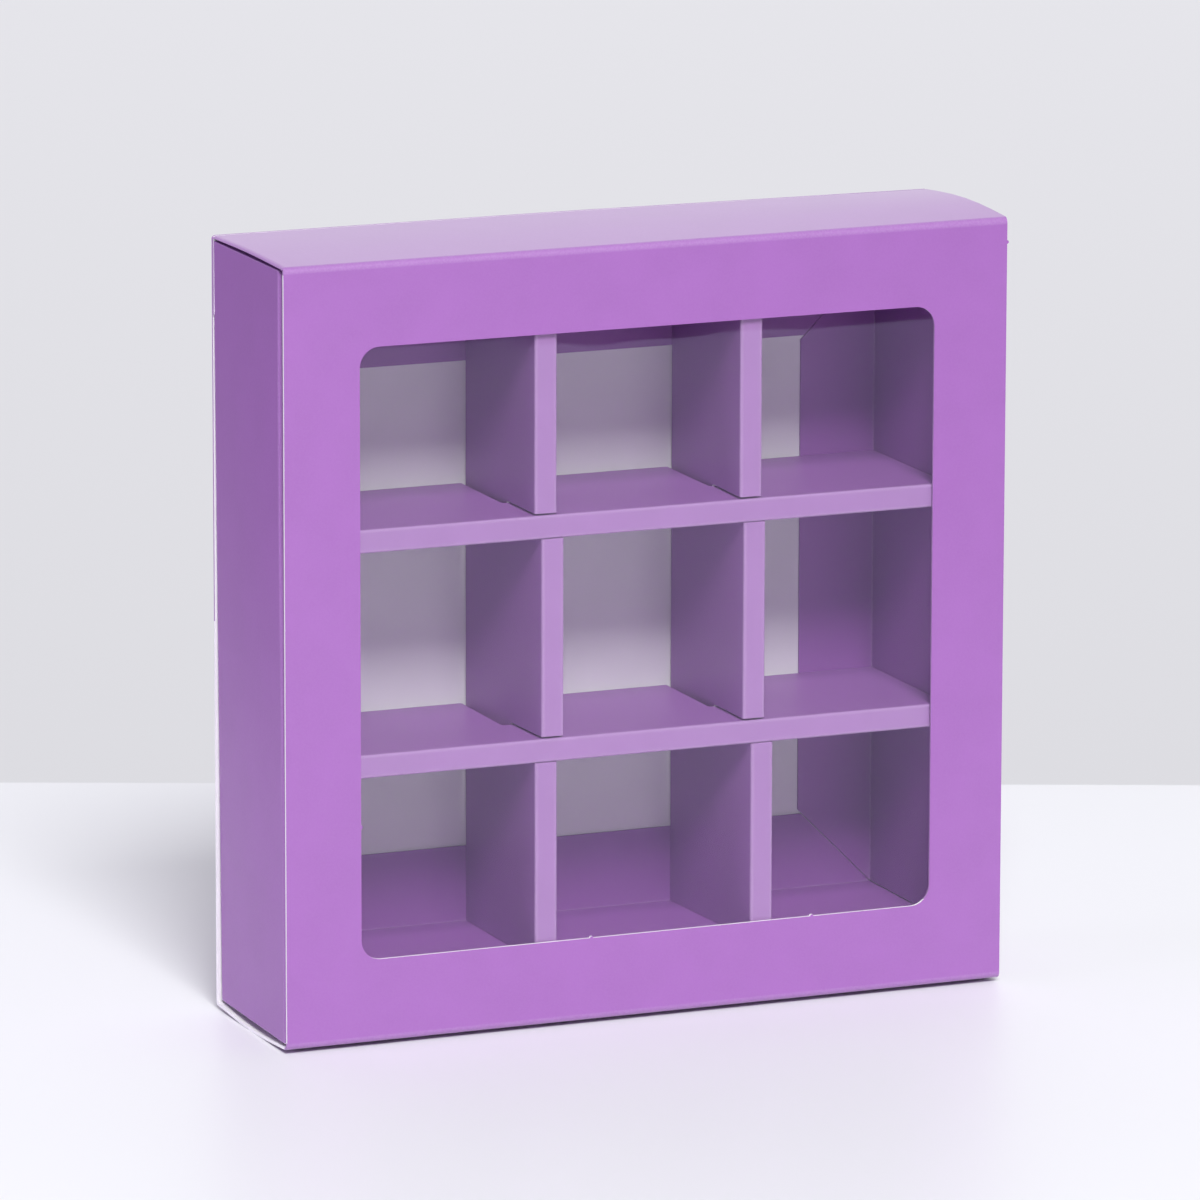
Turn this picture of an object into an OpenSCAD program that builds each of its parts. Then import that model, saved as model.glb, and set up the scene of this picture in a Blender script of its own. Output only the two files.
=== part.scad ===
// Partitioned gift carton: a windowed board sleeve with a slide-out tray that holds four folded ribs.
// The carton stands on one long side. X runs across the window, Y from the window to the back, Z up.
// The origin is the middle of the sleeve's underside.

/* [Sleeve] */
// Length of the sleeve, from one open end to the other
sleeve_l = 137; // [120:1:170]
// Height of the sleeve over its top and bottom panels
sleeve_h = 138.8; // [138.8:0.1:150]
// Depth of the sleeve from the window panel to the back panel
sleeve_d = 35.5; // [30:0.5:60]
// Outer radius of the sleeve's creased corners
sleeve_fold_r = 1; // [0.8:0.1:1.5]
// Width of the glued seam flap inside the back panel
glue_flap_w = 14; // [8:1:20]

/* [Board] */
// Thickness of the folding board
board_t = 0.5; // [0.4:0.05:0.6]

/* [Window] */
// Width and height of the square window
window_w = 109; // [80:1:112]
// Radius of the window's corners
window_r = 3.6; // [1:0.2:8]
// Thickness of the clear film behind the window
film_t = 0.15; // [0.1:0.05:0.2]
// How far the film reaches past the window on each side
film_lap = 7; // [4:0.5:9]

/* [Tray] */
// Length of the tray along the sleeve
tray_l = 136; // [116:1:136]
// Height of the tray
tray_h = 137; // [120:1:137]
// How far the tray's left wall lies inside the sleeve's left end
tray_recess = 0.9; // [0.2:0.1:0.9]
// Thickness of the tray's hollow side walls
hollow_w = 10.5; // [8:0.5:13]
// Outer radius of the tray's folds
tray_fold_r = 0.9; // [0.7:0.1:1.4]
// Width of the left and right flanges on the tray's floor
side_flange_w = 14.5; // [10:0.5:16]
// Width of the upper and lower flanges on the tray's floor
level_flange_w = 13.8; // [10:0.2:16]
// Length of the glued tabs inside the tray's corners
tab_l = 9; // [6:0.5:9.5]
// Gap at the tray's mitred corners
mitre_gap = 0.1; // [0.05:0.05:0.3]

/* [Ribs] */
// Width of a folded rib across its two walls
rib_w = 4.2; // [3:0.2:6]
// Radius of the folds along a rib's front face
rib_fold_r = 0.8; // [0.6:0.1:1.2]
// Share of a cross rib's depth that its slots leave whole at the front
slot_share = 0.4; // [0.3:0.05:0.6]
// Clearance on each side of an upright rib in a cross rib's slot
slot_play = 0.2; // [0.1:0.05:0.5]
// Clearance above and below a cross rib in an upright rib's notch
notch_play = 0.5; // [0.3:0.1:1]
// Gap between a rib and the pieces that it fits against
rib_gap = 0.1; // [0.05:0.05:0.3]

/* [Fit] */
// Gap between the tray and the film in front of it, and between the tray and the flap behind it
slide_gap = 0.25; // [0.2:0.05:0.4]

/* [Hidden] */
$fn = 48;

violet = [0.71, 0.46, 0.84];
pale_violet = [0.76, 0.58, 0.86];
white_board = [0.93, 0.92, 0.94];
clear_film = [0.85, 0.9, 0.95, 0.3];

// Sleeve faces
front_y = -sleeve_d / 2;
back_y = sleeve_d / 2;
film_w = window_w + 2 * film_lap;
film_front_y = front_y + board_t;
film_back_y = film_front_y + film_t;
flap_back_y = back_y - board_t;
flap_front_y = flap_back_y - board_t;

// Tray faces
tray_front_y = film_back_y + slide_gap;
tray_back_y = flap_front_y - slide_gap;
tray_d = tray_back_y - tray_front_y;
tray_x0 = -sleeve_l / 2 + tray_recess;
tray_x1 = tray_x0 + tray_l;
tray_z0 = (sleeve_h - tray_h) / 2;
tray_z1 = tray_z0 + tray_h;
tray_mid_x = (tray_x0 + tray_x1) / 2;
tray_mid_z = (tray_z0 + tray_z1) / 2;
floor_front_y = tray_back_y - board_t;
flange_front_y = floor_front_y - board_t;

// Cells and ribs
cells = 3;
cavity_x0 = tray_x0 + hollow_w;
cavity_l = tray_l - 2 * hollow_w;
cavity_z0 = tray_z0 + hollow_w;
cavity_h = tray_h - 2 * hollow_w;
cell_l = (cavity_l - (cells - 1) * rib_w) / cells;
cell_h = (cavity_h - (cells - 1) * rib_w) / cells;
rib_d = flange_front_y - rib_gap - tray_front_y;
slot_start = rib_d * slot_share;
notch_end = slot_start + rib_gap;

// Middle of an upright rib across the tray, counted from the left
function upright_x(i) = cavity_x0 + i * cell_l + (i - 0.5) * rib_w;
// Middle of a cross rib up the tray, counted from below
function cross_z(i) = cavity_z0 + i * cell_h + (i - 0.5) * rib_w;

// Rectangle from the origin with round corners
module round_rect(w, h, r) {
    translate([r, 0]) square([w - 2 * r, h]);
    translate([0, r]) square([w, h - 2 * r]);
    for (x = [r, w - r], y = [r, h - r]) {
        translate([x, y]) circle(r);
    }
}

// Board bent round a rectangle, seen end on
module folded_ring(w, h, r) {
    difference() {
        round_rect(w, h, r);
        translate([board_t, board_t]) round_rect(w - 2 * board_t, h - 2 * board_t, r - board_t);
    }
}

// Runs an outline drawn in Y and Z along X
module along_x(x0, l) {
    translate([x0, 0, 0]) rotate([90, 0, 90]) linear_extrude(l) children();
}

// Gives an outline drawn in X and Z a thickness along Y, from y0 to y1
module through_y(y0, y1) {
    translate([0, y1, 0]) rotate([90, 0, 0]) linear_extrude(y1 - y0) children();
}

// Flat panel between two corners
module panel(low, high) {
    translate(low) cube(high - low);
}

module sleeve_front_panel() {
    color(violet) difference() {
        panel([-sleeve_l / 2, front_y, sleeve_fold_r],
              [sleeve_l / 2, front_y + board_t, sleeve_h - sleeve_fold_r]);
        through_y(front_y - 1, front_y + board_t + 1)
            translate([-window_w / 2, (sleeve_h - window_w) / 2])
                round_rect(window_w, window_w, window_r);
    }
}

// The top panel carries the bends to the front panel and to the glue flap
module sleeve_top_panel() {
    color(violet) along_x(-sleeve_l / 2, sleeve_l) intersection() {
        translate([front_y, 0]) folded_ring(sleeve_d - board_t, sleeve_h, sleeve_fold_r);
        translate([front_y, sleeve_h - sleeve_fold_r]) square([sleeve_d, sleeve_fold_r]);
    }
}

// The bottom panel carries the bends to the front panel and to the back panel
module sleeve_bottom_panel() {
    color(violet) along_x(-sleeve_l / 2, sleeve_l) intersection() {
        translate([front_y, 0]) folded_ring(sleeve_d, sleeve_h, sleeve_fold_r);
        translate([front_y, 0]) square([sleeve_d, sleeve_fold_r]);
    }
}

module sleeve_back_panel() {
    color(violet) panel([-sleeve_l / 2, back_y - board_t, sleeve_fold_r],
                        [sleeve_l / 2, back_y, sleeve_h]);
}

module sleeve_glue_flap() {
    color(white_board) panel([-sleeve_l / 2, flap_front_y, sleeve_h - glue_flap_w],
                             [sleeve_l / 2, flap_back_y, sleeve_h - sleeve_fold_r]);
}

module window_film() {
    color(clear_film) panel([-film_w / 2, film_front_y, (sleeve_h - film_w) / 2],
                            [film_w / 2, film_back_y, (sleeve_h + film_w) / 2]);
}

module tray_floor() {
    inset = tray_fold_r;
    color(white_board) panel([tray_x0 + inset, floor_front_y, tray_z0 + inset],
                             [tray_x1 - inset, tray_back_y, tray_z1 - inset]);
}

// Places a piece drawn for the lower side on the left, right, upper or lower side.
// The piece runs along X, centred, with its outer face at Z = 0 and the tray inside it above.
module on_side(side) {
    turn = side == "left" ? 90 : side == "right" ? -90 : side == "upper" ? 180 : 0;
    reach = side == "left" || side == "right" ? tray_l / 2 : tray_h / 2;
    translate([tray_mid_x, 0, tray_mid_z]) rotate([0, turn, 0]) translate([0, 0, -reach]) children();
}

// Length of the tray along a side
function side_l(side) = side == "left" || side == "right" ? tray_h : tray_l;

// Width of the floor flange along a side
function flange_w(side) = side == "left" || side == "right" ? side_flange_w : level_flange_w;

// Piece of one side, drawn end on in Y and Z, run along the side and mitred at both ends
module mitred_run(side) {
    l = side_l(side);
    reach = hollow_w + flange_w(side) + 1;
    near = l / 2 - mitre_gap;
    intersection() {
        along_x(-l / 2, l) children();
        through_y(tray_front_y - 1, tray_back_y + 1)
            polygon([[-near, 0], [near, 0], [near - reach, reach], [reach - near, reach]]);
    }
}

// The outer wall carries the bends to the rim and to the floor
module outer_wall(side) {
    color(violet) on_side(side) mitred_run(side) intersection() {
        translate([tray_front_y, 0]) folded_ring(tray_d, hollow_w, tray_fold_r);
        translate([tray_front_y, 0]) square([tray_d, tray_fold_r]);
    }
}

module rim(side) {
    color(violet) on_side(side) mitred_run(side)
        translate([tray_front_y, tray_fold_r]) square([board_t, hollow_w - 2 * tray_fold_r]);
}

// The inner wall carries the bend to the rim and stands on the floor
module inner_wall(side) {
    color(pale_violet) on_side(side) mitred_run(side) intersection() {
        translate([tray_front_y, 0]) folded_ring(2 * tray_d, hollow_w, tray_fold_r);
        translate([tray_front_y, hollow_w - tray_fold_r])
            square([floor_front_y - tray_front_y, tray_fold_r]);
    }
}

module floor_flange(side) {
    color(pale_violet) on_side(side) mitred_run(side)
        translate([flange_front_y, hollow_w]) square([board_t, flange_w(side)]);
}

// Tab folded off the upper or lower outer wall and glued inside the left or right outer wall
module glue_tab(across, up) {
    x = across < 0 ? tray_x0 + board_t : tray_x1 - 2 * board_t;
    z = up < 0 ? tray_z0 + board_t : tray_z1 - board_t - tab_l;
    color(white_board) panel([x, tray_front_y + tray_fold_r, z],
                             [x + board_t, tray_back_y - tray_fold_r, z + tab_l]);
}

// Channel folded from one strip, seen end on, with its front face at Y = 0
module rib_outline() {
    intersection() {
        translate([0, -rib_w / 2]) folded_ring(2 * rib_d, rib_w, rib_fold_r);
        translate([0, -rib_w / 2]) square([rib_d, rib_w]);
    }
}

// Cross rib: its slots open at the back and take the upright ribs
module cross_rib(i) {
    slot_w = rib_w + 2 * slot_play;
    color(pale_violet) difference() {
        translate([0, tray_front_y, cross_z(i)])
            along_x(cavity_x0 + rib_gap, cavity_l - 2 * rib_gap) rib_outline();
        for (k = [1 : cells - 1]) {
            panel([upright_x(k) - slot_w / 2, tray_front_y + slot_start, cross_z(i) - rib_w],
                  [upright_x(k) + slot_w / 2, tray_front_y + rib_d + 1, cross_z(i) + rib_w]);
        }
    }
}

// Upright rib: its notches open at the front and pass over the cross ribs
module upright_rib(i) {
    notch_h = rib_w + 2 * notch_play;
    run = cavity_h - 2 * rib_gap;
    color(pale_violet) difference() {
        translate([upright_x(i), tray_front_y, tray_mid_z])
            rotate([0, -90, 0]) along_x(-run / 2, run) rib_outline();
        for (k = [1 : cells - 1]) {
            panel([upright_x(i) - rib_w, tray_front_y - 1, cross_z(k) - notch_h / 2],
                  [upright_x(i) + rib_w, tray_front_y + notch_end, cross_z(k) + notch_h / 2]);
        }
    }
}

sleeve_front_panel();
sleeve_top_panel();
sleeve_back_panel();
sleeve_bottom_panel();
sleeve_glue_flap();
window_film();
tray_floor();
outer_wall("left");  // left_outer_wall
outer_wall("right");  // right_outer_wall
outer_wall("upper");  // upper_outer_wall
outer_wall("lower");  // lower_outer_wall
rim("left");  // left_rim
rim("right");  // right_rim
rim("upper");  // upper_rim
rim("lower");  // lower_rim
inner_wall("left");  // left_inner_wall
inner_wall("right");  // right_inner_wall
inner_wall("upper");  // upper_inner_wall
inner_wall("lower");  // lower_inner_wall
floor_flange("left");  // left_floor_flange
floor_flange("right");  // right_floor_flange
floor_flange("upper");  // upper_floor_flange
floor_flange("lower");  // lower_floor_flange
glue_tab(-1, 1);  // upper_left_glue_tab
glue_tab(1, 1);  // upper_right_glue_tab
glue_tab(-1, -1);  // lower_left_glue_tab
glue_tab(1, -1);  // lower_right_glue_tab
cross_rib(2);  // upper_cross_rib
cross_rib(1);  // lower_cross_rib
upright_rib(1);  // left_upright_rib
upright_rib(2);  // right_upright_rib
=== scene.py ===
"""Visual model of a windowed partition carton: a creased board sleeve, a hollow-walled tray and four folded ribs.

Each board piece starts as a flat die-cut blank. Geometry Nodes perforate it and bend it at its creases, and it is
then given the board's thickness, with a printed face, a white face and a raw white edge.
"""
import math

import bmesh
import bpy
from mathutils import Matrix, Vector


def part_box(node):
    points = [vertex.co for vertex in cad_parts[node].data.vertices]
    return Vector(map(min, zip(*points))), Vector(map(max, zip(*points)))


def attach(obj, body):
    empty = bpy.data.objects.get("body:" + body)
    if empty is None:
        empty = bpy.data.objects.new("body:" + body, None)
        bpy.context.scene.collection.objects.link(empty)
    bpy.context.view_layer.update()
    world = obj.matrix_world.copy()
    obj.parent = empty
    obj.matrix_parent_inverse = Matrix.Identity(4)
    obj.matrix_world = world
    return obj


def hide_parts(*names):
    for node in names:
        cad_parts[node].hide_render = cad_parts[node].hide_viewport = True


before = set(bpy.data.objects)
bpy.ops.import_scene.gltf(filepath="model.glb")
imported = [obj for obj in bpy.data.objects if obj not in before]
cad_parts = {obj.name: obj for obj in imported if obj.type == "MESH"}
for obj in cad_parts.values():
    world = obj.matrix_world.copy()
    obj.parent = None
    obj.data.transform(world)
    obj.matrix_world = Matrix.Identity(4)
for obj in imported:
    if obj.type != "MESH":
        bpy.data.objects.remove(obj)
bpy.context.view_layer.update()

bl_info = {
    "name": "Windowed partition carton",
    "version": (1, 0, 0),
    "blender": (4, 5, 0),
    "location": "3D View > Sidebar > Carton",
    "description": "Builds a windowed board sleeve with a slide-out divided tray",
    "category": "Add Mesh",
}

MM = 0.001
QUARTER = math.pi / 2
SIDES = ("left", "right", "upper", "lower")
# Attributes on a blank's points: the place across its creases, and 1 on a crease fading to 0 beside it
ACROSS = "across"
CREASE = "crease"
# Named inputs of the folding trees
CREASE_WORDS = ("Crease", "Turn", "Radius")
SLIT_WORDS = ("Slit from", "Slit to", "Slit pitch", "Slit length")
# Steps in the arc of a crease or of a cut-out's corner
ARC_STEPS = 8
SHARP_ANGLE = math.radians(32)
# Width of the band beside a crease that is lightened, partly as worn ink and partly as a painted highlight, and of a
# burr left by the die
CREASE_FADE = 0.3 * MM
NICK_WIDTH = 0.7 * MM
# Burrs below the window, as shares of the sleeve's length, on the window's left edge and on the front's right edge,
# as shares of that edge
BURRS_BELOW, BURR_LEFT, BURR_RIGHT = (0.42, 0.73), 0.22, 0.975
# Length over which the top panel's bulge dies out, and the power by which it does
BULGE_REACH, BULGE_POWER = 60 * MM, 1.5
# Fall of the top panel's curled edge as a share of the curl's width
CURL_FALL = 0.6
# Power by which the drop of the top's back fold dies out downwards
DROP_POWER = 4
MITRE_GAP = 0.1 * MM
# Start and end of the slits across the arc of the perforated crease
SLIT_FROM, SLIT_TO = 0.5, 0.6
# Share of a rib's depth that a cross rib's slots leave whole at the front
SLOT_WHOLE = 0.4
# Room in an upright rib's notch behind, below and above the cross rib
NOTCH_BEHIND, NOTCH_BELOW, NOTCH_ABOVE = 0.1 * MM, 0.05 * MM, 0.4 * MM
# Parts of print to one part of raw board in a darkened edge, which on the tray's and the ribs' raw edges is painted
# shade
EDGE_PRINT_PARTS = 4
# Share of white and amount of varnish of each printed finish. The rib front's larger share of white is a painted
# sheen on top of its real varnish.
PRINTINGS = {"sleeve": (0.0, 1.0), "wall": (0.0, 0.3), "tray": (0.0, 0.1), "rib": (0.035, 0.1),
             "rib_front": (0.10, 0.5)}
# Stage: the table's colour far aside, where the lit backdrop starts and ends, and how strongly it glows there
TABLE_ASIDE = (0.25, 0.25, 0.26, 1)
WALL_START, WALL_END = 0.165, 1.2
WALL_GLOW = (0.56, 0.595)
# Each softbox: its name, place, size and colour
SOFTBOXES = (("key_softbox", (-0.60, -2.76, 2.89), 1.3, (1.0, 1.0, 1.0)),
             ("fill_softbox", (0.20, -2.60, 0.30), 0.9, (1.0, 1.0, 1.0)),
             ("side_softbox", (-1.40, 0.10, 0.25), 0.8, (0.98, 0.90, 1.18)))


def clamp(value):
    """A value kept between 0 and 1."""
    return min(1.0, max(0.0, value))


def span(node, axis):
    """Lowest and highest place of a node along one axis."""
    low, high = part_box(node)
    return low[axis], high[axis]


def board_thickness():
    """Thickness of the folding board, taken from the front panel."""
    low, high = span("sleeve_front_panel", 1)
    return high - low


class CartonBoardSettings(bpy.types.PropertyGroup):
    """Colours and finish of the folding board and the film."""
    printed: bpy.props.FloatVectorProperty(
        name="Printed face", description="Colour of the varnished printed face", subtype="COLOR",
        size=3, min=0, max=1, default=(0.312, 0.104, 0.415))
    inside: bpy.props.FloatVectorProperty(
        name="Inside face", description="Colour of the plain inside face", subtype="COLOR",
        size=3, min=0, max=1, default=(0.84, 0.825, 0.85))
    core: bpy.props.FloatVectorProperty(
        name="Cut edge", description="Colour of the raw cut edge", subtype="COLOR",
        size=3, min=0, max=1, default=(0.93, 0.90, 0.94))
    roughness: bpy.props.FloatProperty(
        name="Varnish roughness", description="Roughness of the varnished face", subtype="FACTOR",
        min=0, max=1, default=0.42)
    # The film's veil is a painted reflection of the bright table
    reflection_veil: bpy.props.FloatProperty(
        name="Film haze", description="How much each face of the film veils what is behind it", subtype="FACTOR",
        min=0, max=1, default=0.07)


class CartonShapeSettings(bpy.types.PropertyGroup):
    """Small departures of the folded board from its flat panels."""
    grid: bpy.props.FloatProperty(
        name="Grid step", description="Largest distance between two grid lines of a blank", unit="LENGTH",
        min=0.001, max=0.05, default=0.006)
    reverse_radius: bpy.props.FloatProperty(
        name="Reverse crease radius", description="Radius of the crease between an inner wall and its flange",
        unit="LENGTH", min=0.0001, max=0.001, default=0.0002)
    tight_radius: bpy.props.FloatProperty(
        name="Tight fold radius", description="Radius of the sharply folded creases", unit="LENGTH",
        min=0.0001, max=0.001, default=0.0004)
    top_bulge: bpy.props.FloatProperty(
        name="Top bulge", description="How far the top panel stands up at the sleeve's right end", unit="LENGTH",
        min=0, max=0.003, default=0.0006)
    top_crown: bpy.props.FloatProperty(
        name="Top crown", description="How far the top panel stands up between its folds", unit="LENGTH",
        min=0, max=0.003, default=0.0003)
    back_fold_drop: bpy.props.FloatProperty(
        name="Back fold drop", description="How low the top's back fold sits at the right end", unit="LENGTH",
        min=0, max=0.002, default=0.00045)
    edge_curl: bpy.props.FloatProperty(
        name="Edge curl", description="Width over which the top panel's left edge curls down", unit="LENGTH",
        min=0.0001, max=0.003, default=0.0008)
    bottom_bow: bpy.props.FloatProperty(
        name="Bottom bow", description="How far the bottom panel hangs below its folds", unit="LENGTH",
        min=0, max=0.003, default=0.0008)
    nick_height: bpy.props.FloatProperty(
        name="Nick height", description="Height of the burrs that the die leaves on an edge", unit="LENGTH",
        min=0, max=0.001, default=0.0003)
    left_wall_shift: bpy.props.FloatProperty(
        name="Left wall shift", description="How far the tray's left wall leans out towards the sleeve's end",
        unit="LENGTH", min=0, max=0.001, default=0.00085)
    left_wall_bulge: bpy.props.FloatProperty(
        name="Left wall bulge", description="How far the middle of the tray's left wall stands out", unit="LENGTH",
        min=0, max=0.002, default=0.00035)
    left_wall_reach: bpy.props.FloatProperty(
        name="Left wall reach", description="How far the back fold of the tray's left wall reaches behind the floor",
        unit="LENGTH", min=0, max=0.001, default=0.0007)
    left_wall_setback: bpy.props.FloatProperty(
        name="Left wall setback", description="How far the front fold of the tray's left wall stands back, high up",
        unit="LENGTH", min=0, max=0.002, default=0.0015)
    left_rib_lean: bpy.props.FloatVectorProperty(
        name="Left rib lean", description="Sideways lean of the left upright rib's front, low to high",
        unit="LENGTH", size=3, default=(0.0002, 0.00145, 0.0001))
    right_rib_lean: bpy.props.FloatVectorProperty(
        name="Right rib lean", description="Sideways lean of the right upright rib's front, low to high",
        unit="LENGTH", size=3, default=(0.00185, 0.0002, -0.0006))
    slit_pitch: bpy.props.FloatProperty(
        name="Slit pitch", description="Distance from one perforation slit to the next", unit="LENGTH",
        min=0.001, max=0.02, default=0.0039)
    slit_length: bpy.props.FloatProperty(
        name="Slit length", description="Length of one perforation slit", unit="LENGTH",
        min=0.0005, max=0.02, default=0.0033)
    slot_play: bpy.props.FloatProperty(
        name="Slot play", description="Room beside an upright rib in a cross rib's slot", unit="LENGTH",
        min=0.0001, max=0.002, default=0.0009)
    slot_radius: bpy.props.FloatProperty(
        name="Slot corner radius", description="Radius of the corners of the ribs' slots", unit="LENGTH",
        min=0.0001, max=0.002, default=0.0006)


class CartonStageSettings(bpy.types.PropertyGroup):
    """Camera, light and table."""
    azimuth: bpy.props.FloatProperty(
        name="Camera azimuth", description="How far round the camera stands, to the carton's left",
        subtype="ANGLE", default=math.radians(22.62))
    elevation: bpy.props.FloatProperty(
        name="Camera elevation", description="Angle of the camera above the table", subtype="ANGLE",
        default=math.radians(12.107))
    roll: bpy.props.FloatProperty(
        name="Camera roll", description="Turn of the camera about its own axis", subtype="ANGLE",
        default=math.radians(0.12))
    distance: bpy.props.FloatProperty(
        name="Camera distance", description="Distance from the camera to the point it looks at",
        unit="LENGTH", default=1.699)
    aim: bpy.props.FloatVectorProperty(
        name="Aim", description="Point that the camera looks at", unit="LENGTH", size=3,
        default=(-0.0021, 0, 0.0717))
    lens: bpy.props.FloatProperty(
        name="Focal length", description="Focal length in millimetres", default=287.36)
    table_near: bpy.props.FloatVectorProperty(
        name="Table colour", description="Colour of the table round the carton", subtype="COLOR",
        size=3, min=0, max=1, default=(0.79, 0.795, 0.82))
    powers: bpy.props.FloatVectorProperty(
        name="Light powers", description="Power of the key, the fill and the side light, in watts",
        size=3, min=0, default=(168, 8, 5.8))


def flat_lines(low, high, step, marks):
    """Grid lines from low to high, through every mark and no further apart than step."""
    stops = sorted({round(place, 7) for place in (low, high, *marks) if low - 1e-7 <= place <= high + 1e-7})
    lines = [stops[0]]
    for start, end in zip(stops, stops[1:]):
        count = max(1, math.ceil((end - start) / step - 1e-6))
        lines += [start + (end - start) * k / count for k in range(1, count + 1)]
    return lines


class Blank:
    """Die-cut board lying flat: X runs along its creases, Y across them, and the printed face is up."""

    def __init__(self, length, width, step):
        self.length, self.width, self.step = length, width, step
        self.creases, self.voids, self.nicks, self.x_marks, self.y_marks = [], [], [], [], []

    def fold(self, place, turn, radius):
        """Adds a crease that starts at place. A positive turn bends away from the printed face."""
        arc = radius * abs(turn)
        self.creases.append((place, turn, radius))
        self.y_marks += [place + arc * k / ARC_STEPS for k in range(ARC_STEPS + 1)]
        self.y_marks += [place - CREASE_FADE, place + arc + CREASE_FADE]
        return place + arc

    def cut(self, x0, x1, y0, y1, radius=0.0):
        """Cuts out a rectangle, with round corners where they don't lie on the blank's own edge."""
        self.voids.append((x0, x1, y0, y1, radius))
        self.x_marks += [x0, x0 + radius, x1 - radius, x1]
        self.y_marks += [y0, y0 + radius, y1 - radius, y1]

    def nick(self, x, y, out_x, out_y):
        """Adds a burr left by the die, standing out of an edge at (x, y) in the direction (out_x, out_y)."""
        half = NICK_WIDTH / 2
        along_x, along_y = (half, 0) if out_y else (0, half)
        self.x_marks += [x - along_x, x + along_x]
        self.y_marks += [y - along_y, y + along_y]
        self.nicks.append(((x - along_x, y - along_y), (x + along_x, y + along_y),
                           (x + along_x / 2 + out_x, y + along_y / 2 + out_y),
                           (x - along_x / 2 + out_x, y - along_y / 2 + out_y)))

    def mesh(self, name):
        """The blank as a flat mesh, with its place across the creases stored on each point."""
        xs = flat_lines(0, self.length, self.step, self.x_marks)
        ys = flat_lines(0, self.width, self.step, self.y_marks)
        bm = bmesh.new()
        across = bm.verts.layers.float.new(ACROSS)
        crease = bm.verts.layers.float.new(CREASE)
        points = {}

        def point(x, y):
            key = (round(x, 7), round(y, 7))
            if key not in points:
                vert = bm.verts.new((x, y, 0))
                vert[across] = y
                vert[crease] = max((self.crease_weight(y, c) for c in self.creases), default=0.0)
                points[key] = vert
            return points[key]

        for x0, x1 in zip(xs, xs[1:]):
            for y0, y1 in zip(ys, ys[1:]):
                middle_x, middle_y = (x0 + x1) / 2, (y0 + y1) / 2
                if not any(v[0] < middle_x < v[1] and v[2] < middle_y < v[3] for v in self.voids):
                    bm.faces.new((point(x0, y0), point(x1, y0), point(x1, y1), point(x0, y1)))
        for void in self.voids:
            self.round_corners(bm, point, void)
        for corners in self.nicks:
            bm.faces.new([point(*corner) for corner in corners])
        for face in bm.faces:
            face.normal_update()
            if face.normal.z < 0:
                face.normal_flip()
        mesh = bpy.data.meshes.new(name)
        bm.to_mesh(mesh)
        bm.free()
        return mesh

    def round_corners(self, bm, point, void):
        """Fills the corners of a cut-out up to their arcs."""
        x0, x1, y0, y1, radius = void
        if not radius:
            return
        for corner_x, way_x in ((x0, 1), (x1, -1)):
            for corner_y, way_y in ((y0, 1), (y1, -1)):
                if not (0 < corner_x < self.length and 0 < corner_y < self.width):
                    continue
                middle = (corner_x + way_x * radius, corner_y + way_y * radius)
                arc = [(middle[0] - way_x * radius * math.sin(QUARTER * k / ARC_STEPS),
                        middle[1] - way_y * radius * math.cos(QUARTER * k / ARC_STEPS))
                       for k in range(ARC_STEPS + 1)]
                for first, second in zip(arc, arc[1:]):
                    bm.faces.new((point(corner_x, corner_y), point(*first), point(*second)))

    @staticmethod
    def crease_weight(y, crease):
        """1 on a crease's bend, fading to 0 beside it."""
        place, turn, radius = crease
        arc = radius * abs(turn)
        beside = max(place - y, y - place - arc, 0)
        return max(0.0, 1 - beside / CREASE_FADE)


def add_node(tree, kind, **values):
    """Adds a node and sets its properties."""
    node = tree.nodes.new(kind)
    for key, value in values.items():
        setattr(node, key, value)
    return node


def wire(tree, value, socket):
    """Links an output to a socket, or sets the socket to a plain value."""
    if isinstance(value, bpy.types.NodeSocket):
        tree.links.new(value, socket)
    else:
        socket.default_value = value


def calc(tree, operation, first, second=0.0):
    """Adds a Math node and returns its result."""
    node = add_node(tree, "ShaderNodeMath", operation=operation)
    wire(tree, first, node.inputs[0])
    wire(tree, second, node.inputs[1])
    return node.outputs[0]


def vector_calc(tree, operation, first, second):
    """Adds a Vector Math node and returns its result."""
    node = add_node(tree, "ShaderNodeVectorMath", operation=operation)
    wire(tree, first, node.inputs[0])
    wire(tree, second, node.inputs[1])
    return node.outputs[0]


def combine(tree, x, y, z):
    """Adds a Combine XYZ node and returns its vector."""
    node = add_node(tree, "ShaderNodeCombineXYZ")
    for socket, value in zip(node.inputs, (x, y, z)):
        wire(tree, value, socket)
    return node.outputs[0]


def separate(tree, vector):
    """Adds a Separate XYZ node and returns its three results."""
    node = add_node(tree, "ShaderNodeSeparateXYZ")
    wire(tree, vector, node.inputs[0])
    return node.outputs


def geometry_tree(name, numbers):
    """Starts a Geometry Nodes tree with a mesh socket, then one named float socket for each number."""
    tree = bpy.data.node_groups.new(name, "GeometryNodeTree")
    tree.interface.new_socket("Geometry", in_out="INPUT", socket_type="NodeSocketGeometry")
    for number in numbers:
        tree.interface.new_socket(number, in_out="INPUT", socket_type="NodeSocketFloat")
    tree.interface.new_socket("Geometry", in_out="OUTPUT", socket_type="NodeSocketGeometry")
    return tree, add_node(tree, "NodeGroupInput"), add_node(tree, "NodeGroupOutput")


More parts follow.
